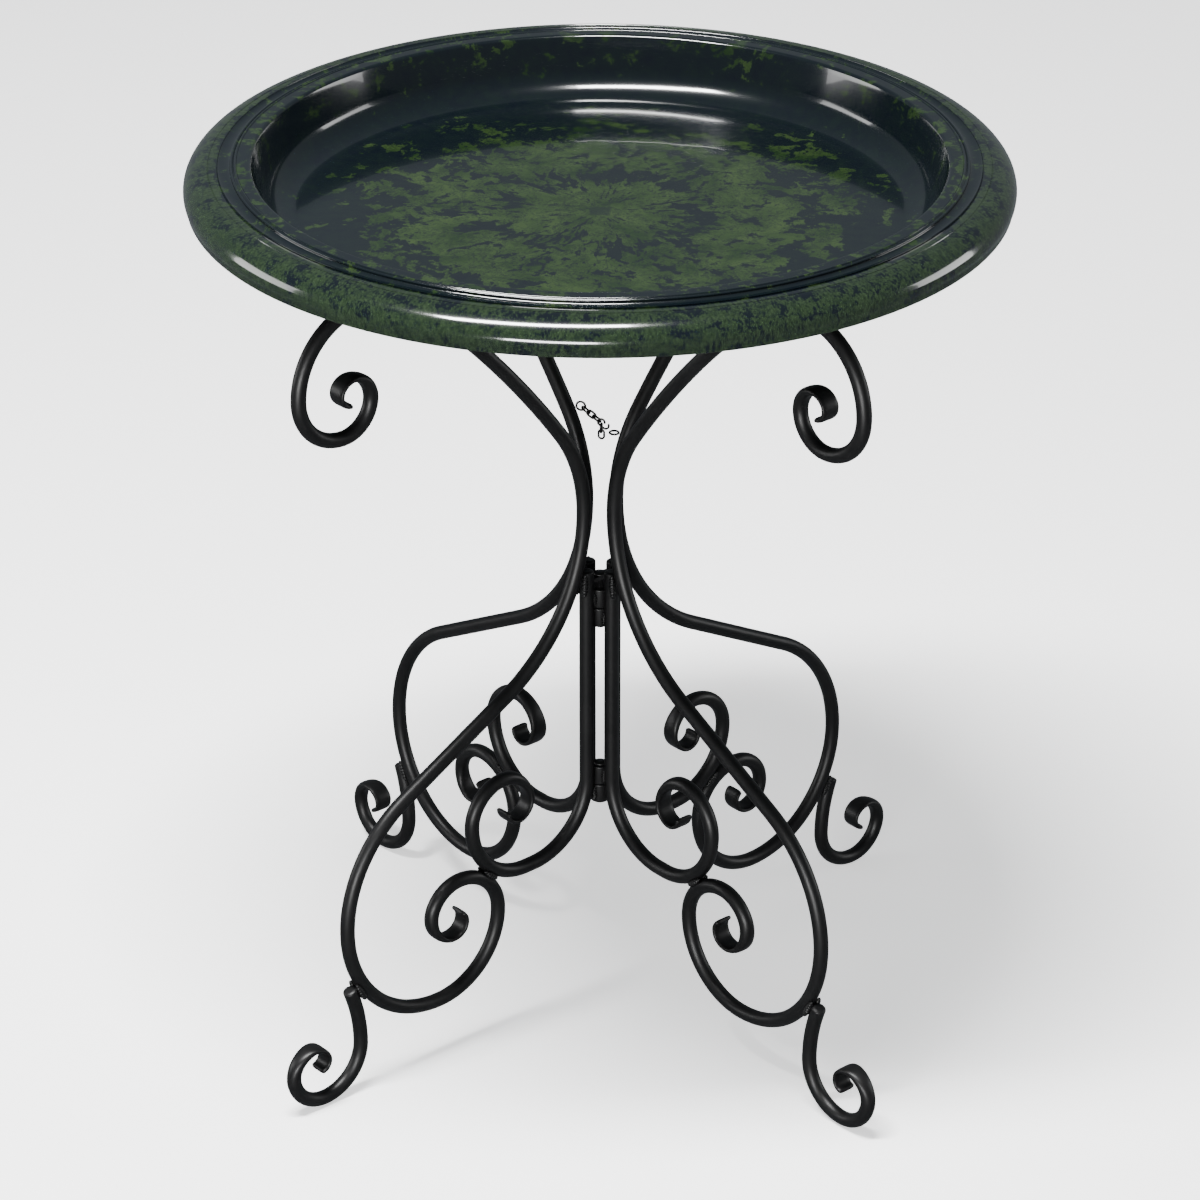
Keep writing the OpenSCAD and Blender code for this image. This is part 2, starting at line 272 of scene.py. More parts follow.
def ring_mesh(name, rings, azimuth):
    """Rings of (place, flatness) as a chain of points that carries what the forging reads."""
    mesh = bpy.data.meshes.new(name + "_rings")
    count = len(rings)
    spots = [leg_point(p, azimuth) for p, _ in rings]
    mesh.from_pydata(spots, [(i, i + 1) for i in range(count - 1)], [])
    a = math.radians(azimuth)
    aside = Vector((math.sin(a), -math.cos(a), 0))
    travel = [0.0]
    for before, after in zip(spots, spots[1:]):
        travel.append(travel[-1] + (after - before).length)

    def store(label, kind, values):
        data = mesh.attributes.new(label, kind, "POINT").data
        for item, value in zip(data, values):
            if kind == "FLOAT_VECTOR":
                item.vector = value
            else:
                item.value = value

    def softened(at):
        """Share of the full section, which shrinks in a quarter round towards a cut end."""
        left = min(at, travel[-1] - at) / SOFT_END
        if left >= 1:
            return 1.0
        return CUT_SHARE + (1 - CUT_SHARE) * math.sqrt(1 - (1 - left) ** 2)

    across = []
    for p, _ in rings:
        h = math.radians(p[2])
        across.append(leg_point((-math.sin(h), math.cos(h)), azimuth))
    store("centre", "FLOAT_VECTOR", spots)
    store("across", "FLOAT_VECTOR", across)
    store("aside", "FLOAT_VECTOR", [aside] * count)
    store("flat", "FLOAT", [flat for _, flat in rings])
    store("taper", "FLOAT", [softened(at) for at in travel])
    return mesh


def with_soft_ends(rings):
    """Extra rings close to both ends, so that the cut ends come out rounded over."""
    def near(one, two):
        (a, flat_a), (b, flat_b) = one, two
        gap = math.dist(a[:2], b[:2])
        steps = [k * SOFT_END / SOFT_STEPS for k in range(1, SOFT_STEPS + 1)]
        marks = [step / gap for step in steps if step < gap * 0.98]
        return [(tuple(u + (v - u) * m for u, v in zip(a, b)), flat_a + (flat_b - flat_a) * m)
                for m in marks]

    head = near(rings[0], rings[1])
    tail = near(rings[-1], rings[-2])
    return [rings[0]] + head + rings[1:-1] + tail[::-1] + [rings[-1]]


COAT_IOR = 1.33
PEEL_SCALE = 900.0
CLOUD_SCALE = 38.0
SCUFF_SCALE = 210.0
RUBBED_SHARE = 0.35


def powder_coat(name, base=0.0020, rough=0.43, worn=0.0):
    """Black powder coat with a fine orange-peel skin, greyer where edges are rubbed."""
    material = bpy.data.materials.new(name)
    material.use_nodes = True
    tree = material.node_tree
    shader = tree.nodes["Principled BSDF"]
    where = node(tree, "ShaderNodeTexCoord").outputs["Object"]
    peel = node(tree, "ShaderNodeTexNoise",
                {"Vector": where, "Scale": PEEL_SCALE, "Detail": 2.0, "Roughness": 0.6})
    cloud = node(tree, "ShaderNodeTexNoise",
                 {"Vector": where, "Scale": CLOUD_SCALE, "Detail": 4.0, "Roughness": 0.65})
    scuff = node(tree, "ShaderNodeTexNoise",
                 {"Vector": where, "Scale": SCUFF_SCALE, "Detail": 3.0, "Roughness": 0.7})

    def black(lift, blue_lift):
        return (base * lift, base * lift, base * blue_lift, 1)

    edge = node(tree, "ShaderNodeNewGeometry").outputs["Pointiness"]
    rubbed = maths(tree, "MULTIPLY",
                   maths(tree, "MULTIPLY_ADD", edge, 9.0, -4.75, clamp=True),
                   maths(tree, "MULTIPLY_ADD", scuff.outputs["Fac"], 2.0, -0.35, clamp=True))
    shade = node(tree, "ShaderNodeMix", {
        "Factor": maths(tree, "MULTIPLY", rubbed, RUBBED_SHARE + worn),
        "A": black(1, 1.06), "B": black(7, 7.2)},
        data_type="RGBA")
    mottle = node(tree, "ShaderNodeMix", {
        "Factor": maths(tree, "MULTIPLY_ADD", cloud.outputs["Fac"], 1.6, -0.55, clamp=True),
        "A": shade.outputs["Result"], "B": black(1.9, 1.95)},
        data_type="RGBA")
    tree.links.new(mottle.outputs["Result"], shader.inputs["Base Color"])
    tree.links.new(maths(tree, "MULTIPLY_ADD", cloud.outputs["Fac"], 0.16, rough - 0.08),
                   shader.inputs["Roughness"])
    shader.inputs["IOR"].default_value = COAT_IOR
    bump = node(tree, "ShaderNodeBump",
                {"Strength": 0.10, "Distance": 0.0003, "Height": peel.outputs["Fac"]})
    tree.links.new(bump.outputs["Normal"], shader.inputs["Normal"])
    return material


forged_bar = forging_tree()
black_bar = powder_coat("Black powder coat")


def forge(name, rings, leg, replaced, seed):
    """Make one leg's bar from its rings and put it on the frame it belongs to."""
    mesh = ring_mesh(name, with_soft_ends(rings), LEGS[leg])
    piece = made_by(forged_bar, name, mesh, **{"Finish": black_bar, "Hammer Seed": seed})
    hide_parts(replaced)
    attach(piece, LEG_BODY[leg])


waist_up = (WAIST[0], WAIST[1], 90)
waist_down = (WAIST[0], WAIST[1], -90)
main_rings = (turned_back(scroll_end(waist_up, ARM, ARM_TIP)) + [(waist_down, 0)]
              + scroll_end(waist_down, LOOP, LOOP_TIP))
for seed, leg in enumerate(LEGS):
    forge("main_bar_" + leg, main_rings, leg, "main_scroll_" + leg,
          MAIN_SEEDS[0] + seed * MAIN_SEEDS[1])


# ---- Inner scrolls
# A second bar stands straight beside the hinge, welded into the crotch under the
# waist. Its lower end turns out and up into a curl that rests on the big loop.

TOUCH = 0.00005
KNUCKLE_D = 0.0127
INNER_R = 44
TURN_R = INNER_R + 3
SMALL_TURN = 6
COLUMN_GAP = 0.0003
CURL_OUT = 0.006
INNER_SEEDS = (20, 2.9)

column_r = (KNUCKLE_D + BAR_D) / 2 + COLUMN_GAP
first_drop = LOOP[0][0] / 1000
crotch = math.acos(1 - (column_r + BAR_D + TOUCH - WAIST[0]) / first_drop)
column_top = WAIST[1] - first_drop * math.sin(crotch)
curl_turn = LOOP[SMALL_TURN]
curl_centre = bend_centre(bend_all(waist_down, LOOP[:SMALL_TURN]), curl_turn)
curl_reach = (INNER_R + curl_turn[0]) / 1000 + BAR_D + TOUCH
inner_x = column_r + TURN_R / 1000 + CURL_OUT
inner_z = curl_centre[1] + math.sqrt(curl_reach ** 2 - (curl_centre[0] - inner_x) ** 2)
turn_z = inner_z + (TURN_R - INNER_R) / 1000
inner_start = (column_r, column_top, -90)
INNER = [((column_top - turn_z) * 1000, 0), (TURN_R, 90), (CURL_OUT * 1000, 0),
         (INNER_R, 90), (27, 80)]
INNER_TIP = [(21, 80), (14, 80), (9, 70), (7, 60)]

inner_rings = [(inner_start, 0)] + scroll_end(inner_start, INNER, INNER_TIP)
for seed, leg in enumerate(LEGS):
    forge("inner_bar_" + leg, inner_rings, leg, "inner_scroll_" + leg,
          INNER_SEEDS[0] + seed * INNER_SEEDS[1])


# ---- Foot scrolls
# A short bar is welded along the outside of each big loop. It drops to the ground
# and curls up outward, so the stand rests on four smooth bends.

FOOT_R = 30
FOOT_LEAN = 5
WELD_BEND, WELD_PART = 3, 0.6
FOOT_SEEDS = (40, 5.3)

foot_weld = bend_on(bend_all(waist_down, LOOP[:WELD_BEND]), LOOP[WELD_BEND], WELD_PART)
weld_heading = math.radians(foot_weld[2])
foot_start = (foot_weld[0] - (BAR_D + TOUCH) * math.sin(weld_heading),
              foot_weld[1] + (BAR_D + TOUCH) * math.cos(weld_heading),
              foot_weld[2] + FOOT_LEAN)
lead_turn = -90 - foot_start[2]
lead_drop = foot_start[1] - FOOT_R / 1000 - BAR_D / 2
lead_r = lead_drop / math.sin(math.radians(lead_turn)) * 1000
FOOT = [(lead_r, lead_turn), (FOOT_R, 90), (FOOT_R * 0.8, 80)]
FOOT_TIP = [(17, 80), (11, 70), (8, 70), (6.5, 60)]

foot_rings = [(foot_start, 0)] + scroll_end(foot_start, FOOT, FOOT_TIP)
for seed, leg in enumerate(LEGS):
    forge("foot_bar_" + leg, foot_rings, leg, "foot_scroll_" + leg,
          FOOT_SEEDS[0] + seed * FOOT_SEEDS[1])


# ---- Hinge knuckles and pins
# Four short tubes are welded to the inner bars, two to each frame, and two headed
# pins run through them. The stand folds about these pins.

PIN_D = 0.006
PIN_PLAY = 0.00005
BORE_EDGE = 0.0004
RIM_EDGE = 0.0009
HEAD_RISE = 0.002
HEAD_EDGE = 0.0002
DOME_SPREAD = 1.35


def turned(name, outline, steps=72, closed=True):
    """Turn an outline of (radius, height) about the centre axis of the stand."""
    bm = bmesh.new()
    rows = []
    for r, z in outline:
        if r < 1e-7:
            rows.append([bm.verts.new((0, 0, z))])
            continue
        rows.append([bm.verts.new((r * math.cos(2 * math.pi * k / steps),
                                   r * math.sin(2 * math.pi * k / steps), z))
                     for k in range(steps)])
    pairs = list(zip(rows, rows[1:])) + ([(rows[-1], rows[0])] if closed else [])
    for low, high in pairs:
        for k in range(steps):
            n = (k + 1) % steps
            corners = [low[k % len(low)], low[n % len(low)],
                       high[n % len(high)], high[k % len(high)]]
            kept = list(dict.fromkeys(corners))
            if len(kept) > 2:
                bm.faces.new(kept)
    bmesh.ops.recalc_face_normals(bm, faces=bm.faces)
    mesh = bpy.data.meshes.new(name)
    bm.to_mesh(mesh)
    bm.free()
    mesh.shade_smooth()
    piece = bpy.data.objects.new(name, mesh)
    bpy.context.collection.objects.link(piece)
    return piece


def rounded(corners, radii, steps=5):
    """A closed outline whose corners are rounded over, each by its own radius."""
    points = []
    count = len(corners)
    for i, (corner, r) in enumerate(zip(corners, radii)):
        here = Vector(corner)
        if r == 0:
            points.append(tuple(here))
            continue
        back = (Vector(corners[i - 1]) - here).normalized() * r
        ahead = (Vector(corners[(i + 1) % count]) - here).normalized() * r
        for k in range(steps + 1):
            t = k / steps
            points.append(tuple(here + back * (1 - t) ** 2 + ahead * t ** 2))
    return points


hinge_coat = powder_coat("Worn black hinge coat", base=0.0024, rough=0.38, worn=0.25)
for name, body in (("knuckle_a_upper", "frame_a"), ("knuckle_b_upper", "frame_b"),
                   ("knuckle_b_lower", "frame_b"), ("knuckle_a_lower", "frame_a")):
    low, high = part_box(name)
    bore = PIN_D / 2 + PIN_PLAY
    outer = high[0]
    tube = turned(name + "_tube", rounded(
        [(bore, low[2]), (outer, low[2]), (outer, high[2]), (bore, high[2])],
        [BORE_EDGE, RIM_EDGE, RIM_EDGE, BORE_EDGE]), steps=96)
    tube.data.materials.append(hinge_coat)
    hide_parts(name)
    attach(tube, body)

for name in ("hinge_pin_upper", "hinge_pin_lower"):
    low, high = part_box(name)
    head, shank = high[0], PIN_D / 2
    top_seat, low_seat = high[2] - HEAD_RISE, low[2] + HEAD_RISE
    flattened = 0.55 * HEAD_RISE / (1 - math.cos(DOME_SPREAD))
    dome = [(head * math.sin(a), high[2] - flattened * (1 - math.cos(a)))
            for a in (0.0, 0.2, 0.4, 0.6, 0.8, 1.0, 1.2, DOME_SPREAD)]
    foot = [(r, low[2] + high[2] - z) for r, z in reversed(dome)]
    outline = dome + [(head, high[2] - HEAD_RISE * 0.7), (head, top_seat + HEAD_EDGE),
                      (head - HEAD_EDGE, top_seat), (shank, top_seat),
                      (shank, low_seat), (head - HEAD_EDGE, low_seat),
                      (head, low_seat - HEAD_EDGE), (head, low[2] + HEAD_RISE * 0.7)] + foot
    pin = turned(name + "_rivet", outline, steps=64, closed=False)
    pin.data.materials.append(hinge_coat)
    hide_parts(name)
    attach(pin, "frame_a")


# ---- Bridge plate
# A small flat strap sits between the two bars of the first frame, above the upper
# knuckles, and holds the head of the upper pin. It is cut from flat steel.

PLATE_EDGE = 0.0003

bm = bmesh.new()
bm.from_mesh(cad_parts["bridge_plate"].data)
bmesh.ops.remove_doubles(bm, verts=bm.verts, dist=1e-6)
bmesh.ops.dissolve_limit(bm, angle_limit=math.radians(1), verts=bm.verts, edges=bm.edges)
corners = [e for e in bm.edges
           if len(e.link_faces) == 2 and e.calc_face_angle() > math.radians(50)]
bmesh.ops.bevel(bm, geom=corners, offset=PLATE_EDGE, segments=2, profile=0.6, affect="EDGES")
bmesh.ops.triangulate(bm, faces=[f for f in bm.faces if len(f.verts) > 4])
plate_mesh = bpy.data.meshes.new("bridge_strap")
bm.to_mesh(plate_mesh)
bm.free()
plate_mesh.materials.clear()
plate_mesh.materials.append(hinge_coat)
strap = bpy.data.objects.new("bridge_strap", plate_mesh)
bpy.context.collection.objects.link(strap)
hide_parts("bridge_plate")
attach(strap, "frame_a")


# ---- Weld beads
# Every joint between two bars is a short arc weld, left as a rippled bead under
# the powder coat: at the crotch, where curls touch, at the feet and knuckles.

BEAD_R = 0.0021
BEAD_ASIDE = BAR_D * 0.36
CROTCH_BEAD = ((-0.0008, -0.0005), (0.0002, -0.017))
CURL_BEAD = 0.013
FOOT_BEAD = (-0.002, 0.013)
KNUCKLE_BEAD_R = KNUCKLE_D / 2 - 0.0002
KNUCKLE_BEAD_ASIDE = 0.0016
KNUCKLE_BEAD_INSET = 0.0015


def bead_tree():
    """Lay a rippled bead with tapered ends along every edge of the mesh."""
    tree, start, end = new_geometry_tree("Weld bead", [
        ("Bead Radius", "NodeSocketFloat", BEAD_R),
        ("Ripples", "NodeSocketFloat", 7.0),
        ("Ripple Depth", "NodeSocketFloat", 0.13),
        ("Lump Size", "NodeSocketFloat", 0.0008),
        ("Lump Scale", "NodeSocketFloat", 520.0),
        ("Lump Seed", "NodeSocketFloat", 4.0),
        ("Steps", "NodeSocketInt", 44),
        ("Sides", "NodeSocketInt", 14),
        ("Finish", "NodeSocketMaterial", None)])
    curve = node(tree, "GeometryNodeMeshToCurve", {"Mesh": start.outputs["Geometry"]})
    fine = node(tree, "GeometryNodeResampleCurve",
                {"Curve": curve.outputs[0], "Count": start.outputs["Steps"]})
    factor = node(tree, "GeometryNodeSplineParameter").outputs["Factor"]
    across = maths(tree, "MULTIPLY_ADD", factor, 1.96, -0.98)
    hump = maths(tree, "SQRT", maths(tree, "SUBTRACT", 1.0,
                                     maths(tree, "MULTIPLY", across, across)))
    phase = maths(tree, "MULTIPLY", maths(tree, "MULTIPLY", factor, start.outputs["Ripples"]),
                  2 * math.pi)
    ripple = maths(tree, "MULTIPLY_ADD", maths(tree, "SINE", phase),
                   start.outputs["Ripple Depth"], 1.0)
    size = maths(tree, "MULTIPLY", maths(tree, "MULTIPLY", hump, ripple),
                 start.outputs["Bead Radius"])
    ring = node(tree, "GeometryNodeCurvePrimitiveCircle",
                {"Resolution": start.outputs["Sides"], "Radius": 1.0}, mode="RADIUS")
    swept = node(tree, "GeometryNodeCurveToMesh", {
        "Curve": fine.outputs[0], "Profile Curve": ring.outputs[0],
        "Scale": size, "Fill Caps": True})
    place = node(tree, "GeometryNodeInputPosition").outputs[0]
    lumps = node(tree, "ShaderNodeTexNoise", {
        "Vector": place, "W": start.outputs["Lump Seed"],
        "Scale": start.outputs["Lump Scale"], "Detail": 1.0}, noise_dimensions="4D")
    shift = vectors(tree, "SCALE", vectors(tree, "SUBTRACT", lumps.outputs["Color"],
                                           (0.5, 0.5, 0.5)), scale=start.outputs["Lump Size"])
    moved = node(tree, "GeometryNodeSetPosition", {"Geometry": swept.outputs[0], "Offset": shift})
    smooth = node(tree, "GeometryNodeSetShadeSmooth", {"Geometry": moved.outputs[0]})
    close_tree(tree, end, smooth.outputs[0], start.outputs["Finish"])
    return tree


def bead_lines():
    """Ends of the beads of any leg, as pairs of (place in the leg's plane, how far aside)."""
    crotch_x = column_r + BAR_D / 2
    inner_share, loop_share = curl_turn[0] / 1000 + BAR_D / 2, INNER_R / 1000 + BAR_D / 2
    meet = ((inner_x * inner_share + curl_centre[0] * loop_share) / (inner_share + loop_share),
            (inner_z * inner_share + curl_centre[1] * loop_share) / (inner_share + loop_share))
    lean = math.atan2(inner_z - curl_centre[1], inner_x - curl_centre[0]) + math.pi / 2
    middle = ((foot_weld[0] + foot_start[0]) / 2, (foot_weld[1] + foot_start[1]) / 2)

    def from_spot(spot, heading, ends):
        return [(spot[0] + end * math.cos(heading), spot[1] + end * math.sin(heading))
                for end in ends]

    runs = [[(crotch_x + out, column_top + up) for out, up in CROTCH_BEAD],
            from_spot(meet, lean, (-CURL_BEAD / 2, CURL_BEAD / 2)),
            from_spot(middle, weld_heading, FOOT_BEAD)]
    return [(a, aside, b, aside) for a, b in runs for aside in (-BEAD_ASIDE, BEAD_ASIDE)]


def knuckle_lines(leg):
    """Ends of the beads between a leg's inner bar and its own frame's knuckles."""
    lines = []
    kind = LEG_BODY[leg][-1]
    for height in ("upper", "lower"):
        low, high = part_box(f"knuckle_{kind}_{height}")
        for aside in (-KNUCKLE_BEAD_ASIDE, KNUCKLE_BEAD_ASIDE):
            lines.append(((KNUCKLE_BEAD_R, low[2] + KNUCKLE_BEAD_INSET), aside,
                          (KNUCKLE_BEAD_R, high[2] - KNUCKLE_BEAD_INSET), aside))
    return lines


weld_bead = bead_tree()
for body in ("frame_a", "frame_b"):
    spots = []
    for leg, azimuth in LEGS.items():
        if LEG_BODY[leg] == body:
            for a, aside_a, b, aside_b in bead_lines() + knuckle_lines(leg):
                spots += [leg_point(a, azimuth, aside_a), leg_point(b, azimuth, aside_b)]
    mesh = bpy.data.meshes.new("bead_lines")
    mesh.from_pydata(spots, [(i, i + 1) for i in range(0, len(spots), 2)], [])
    beads = made_by(weld_bead, "weld_beads_" + body, mesh, **{"Finish": black_bar})
    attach(beads, body)


# ---- Stop chain
# A short chain of bent wire links keeps the two frames from opening too far. It
# hangs from an eye on one back leg, and a wire hook reaches the eye on the other.

WIRE_D = 0.0014
LINK_L = 0.0074
LINK_W = 0.005
EYE_R = 0.0029
SLACK = 0.0001
LINK_COUNT = 3
SPARE_COUNT = 2
RIGHT_EYE_PART = 0.7
HOOK_CLEARANCE = 0.0006
HOOK_INSET = 0.0007

left_bar = bend_on(waist_up, ARM[0])
right_bar = bend_on(waist_up, ARM[0], RIGHT_EYE_PART)
span_turn = math.atan2(-left_bar[0], right_bar[0])


def eye_out(heading, across):
    """Level distance of an eye from the middle of the leaning bar it is welded to."""
    lean = across * math.cos(math.radians(heading))
    return (BAR_D / 2 + WIRE_D / 2 + EYE_R + TOUCH) / math.sqrt(1 - lean ** 2)


sideways = Vector((math.cos(span_turn), math.sin(span_turn), 0))
left_eye = (Vector((0, left_bar[0], left_bar[1]))
            + sideways * eye_out(left_bar[2], math.sin(span_turn)))
right_eye = (Vector((right_bar[0], 0, right_bar[1]))
             - sideways * eye_out(right_bar[2], math.cos(span_turn)))
run = right_eye - left_eye
slope = math.atan2(-run.z, run.xy.length)
chain_place = (Matrix.Translation(left_eye) @ Matrix.Rotation(span_turn, 4, "Z")
               @ Matrix.Rotation(slope, 4, "Y"))

pitch = LINK_L - 2 * WIRE_D - 2 * SLACK
hook_r = EYE_R - HOOK_INSET
first_link = EYE_R + (LINK_L - LINK_W) / 2
last_end = first_link + (LINK_COUNT - 1) * pitch + (LINK_L - WIRE_D) / 2
hook_start = last_end - WIRE_D - SLACK + hook_r
hook_end = run.length - EYE_R - HOOK_CLEARANCE - hook_r - WIRE_D


def chain_tree():
    """Set one bent and closed wire link on every point, turned as the point says."""
    tree, start, end = new_geometry_tree("Wire links", [
        ("Wire Diameter", "NodeSocketFloat", WIRE_D),
        ("Link Length", "NodeSocketFloat", LINK_L),
        ("Link Width", "NodeSocketFloat", LINK_W),
        ("Finish", "NodeSocketMaterial", None)])
    wire = start.outputs["Wire Diameter"]
    width = maths(tree, "SUBTRACT", start.outputs["Link Width"], wire)
    frame_line = node(tree, "GeometryNodeCurvePrimitiveQuadrilateral", {
        "Width": maths(tree, "SUBTRACT", start.outputs["Link Length"], wire), "Height": width},
        mode="RECTANGLE")
    bent = node(tree, "GeometryNodeFilletCurve", {
        "Curve": frame_line.outputs[0], "Radius": maths(tree, "MULTIPLY", width, 0.499),
        "Count": 10, "Limit Radius": True}, mode="POLY")
    ring = node(tree, "GeometryNodeCurvePrimitiveCircle",
                {"Resolution": 16, "Radius": maths(tree, "MULTIPLY", wire, 0.5)}, mode="RADIUS")
    link = node(tree, "GeometryNodeCurveToMesh",
                {"Curve": bent.outputs[0], "Profile Curve": ring.outputs[0]})
    smooth = node(tree, "GeometryNodeSetShadeSmooth", {"Geometry": link.outputs[0]})
    facing = node(tree, "GeometryNodeInputNamedAttribute", {"Name": "facing"},
                  data_type="FLOAT_VECTOR").outputs["Attribute"]
    turn = node(tree, "FunctionNodeEulerToRotation", {"Euler": facing})
    points = node(tree, "GeometryNodeMeshToPoints", {"Mesh": start.outputs["Geometry"]})
    placed = node(tree, "GeometryNodeInstanceOnPoints", {
        "Points": points.outputs[0], "Instance": smooth.outputs[0], "Rotation": turn.outputs[0]})
    close_tree(tree, end, placed.outputs[0], start.outputs["Finish"])
    return tree


def wire_tree():
    """Sweep one round wire along the edges of the mesh."""
    tree, start, end = new_geometry_tree("Bent wire", [
        ("Wire Diameter", "NodeSocketFloat", WIRE_D),
        ("Finish", "NodeSocketMaterial", None)])
    curve = node(tree, "GeometryNodeMeshToCurve", {"Mesh": start.outputs["Geometry"]})
    radius = maths(tree, "MULTIPLY", start.outputs["Wire Diameter"], 0.5)
    ring = node(tree, "GeometryNodeCurvePrimitiveCircle",
                {"Resolution": 16, "Radius": radius}, mode="RADIUS")
    swept = node(tree, "GeometryNodeCurveToMesh",
                 {"Curve": curve.outputs[0], "Profile Curve": ring.outputs[0], "Fill Caps": True})
    smooth = node(tree, "GeometryNodeSetShadeSmooth", {"Geometry": swept.outputs[0]})
    close_tree(tree, end, smooth.outputs[0], start.outputs["Finish"])
    return tree


wire_links, bent_wire = chain_tree(), wire_tree()
black_wire = powder_coat("Black chain coat", base=0.0014, rough=0.36, worn=0.1)


def set_of_links(name, places, replaced):
    """Put a wire link at each place, as one piece that swings with the chain."""
    mesh = bpy.data.meshes.new(name + "_points")
    mesh.from_pydata([p.translation for p in places], [], [])
    facing = mesh.attributes.new("facing", "FLOAT_VECTOR", "POINT").data
    for item, place in zip(facing, places):
        item.vector = place.to_euler("XYZ")
    piece = made_by(wire_links, name, mesh, Finish=black_wire)
    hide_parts(replaced)
    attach(piece, "chain")


def wire_piece(name, spots, closed, replaced, body):
    """Bend one wire through the spots, closed into a ring or left open."""
    mesh = bpy.data.meshes.new(name + "_line")
    count = len(spots)
    edges = [(i, (i + 1) % count) for i in range(count if closed else count - 1)]
    mesh.from_pydata(spots, edges, [])
    piece = made_by(bent_wire, name, mesh, Finish=black_wire)
    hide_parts(replaced)
    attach(piece, body)


def arc(cx, cy, rx, ry, first, last, steps):
    """Points round a centre from one angle to another, in degrees, with both ends."""
    turns = [math.radians(first + (last - first) * k / steps) for k in range(steps + 1)]
    return [(cx + rx * math.cos(a), cy + ry * math.sin(a)) for a in turns]


set_of_links("chain_loops", [
    chain_place @ Matrix.Translation((first_link + i * pitch, 0, 0))
    @ Matrix.Rotation(math.radians(90 * (i % 2)), 4, "X")
    for i in range(LINK_COUNT)], "chain_links")

tail_drop = (LINK_L - WIRE_D) / 2 - (WIRE_D + SLACK) / math.cos(slope)
tail_place = (chain_place @ Matrix.Translation(((hook_start + hook_end) / 2, 0, -hook_r))
              @ Matrix.Rotation(-slope, 4, "Y"))
set_of_links("chain_spare_loops", [
    tail_place @ Matrix.Translation((0, 0, -tail_drop - i * pitch))
    @ Matrix.Rotation(math.radians(90 * i), 4, "Z") @ Matrix.Rotation(math.radians(90), 4, "Y")
    for i in range(SPARE_COUNT)], "chain_tail")

hook_line = (arc(hook_start, 0, -hook_r, hook_r, 160, -90, 26)
             + arc(hook_end, 0, hook_r, hook_r, -90, 70, 18))
wire_piece("chain_wire_hook", [chain_place @ Vector((x, 0, z)) for x, z in hook_line], False,
           "chain_hook", "chain")
circle = arc(0, 0, EYE_R, EYE_R, 0, 350, 35)
upright = Matrix.Translation(left_eye) @ Matrix.Rotation(span_turn, 4, "Z")
wire_piece("chain_ring_back_left", [upright @ Vector((x, 0, z)) for x, z in circle], True,
           "chain_eye_back_left", "frame_b")
wire_piece("chain_ring_back_right", [right_eye + Vector((x, y, 0)) for x, y in circle], True,
           "chain_eye_back_right", "frame_a")


# ---- Bowl
# The bowl is one moulded shell of glossy marbled resin, poured from its centre, so
# its moss green runs outward through near-black slate. A flat lip with two fine
# beads and a shallow channel lead to the rolled edge and its plain skirt.

BOWL_R = 254.0
WALL = 4.5
BOWL_H = 42.0
LIP_R = 212.0
FLOOR_R = 186.0
FLOOR_FILLET = 22.0
LIP_EDGE = 2.5
BEAD_RS = (222.0, 224.4)
BEAD_DIPS = (0.2, 0.6)
BEAD_SIZE = 0.85
CHANNEL = (229.0, 1.4, 4.0, 1.6)
GROOVE_R = 238.6
GROOVE_DEPTH = 0.35
ROLL = (236.0, 26.0, 18.0, 14.0)
SKIRT_R, SKIRT_Z, SKIRT_H = 252.4, 18.0, 5.0
BOWL_STEPS = 288
CRISP_ANGLE = 40


def straight(a, b, steps):
    """Evenly spaced points from one point to another, without the first."""
    return [(a[0] + (b[0] - a[0]) * k / steps, a[1] + (b[1] - a[1]) * k / steps)
            for k in range(1, steps + 1)]


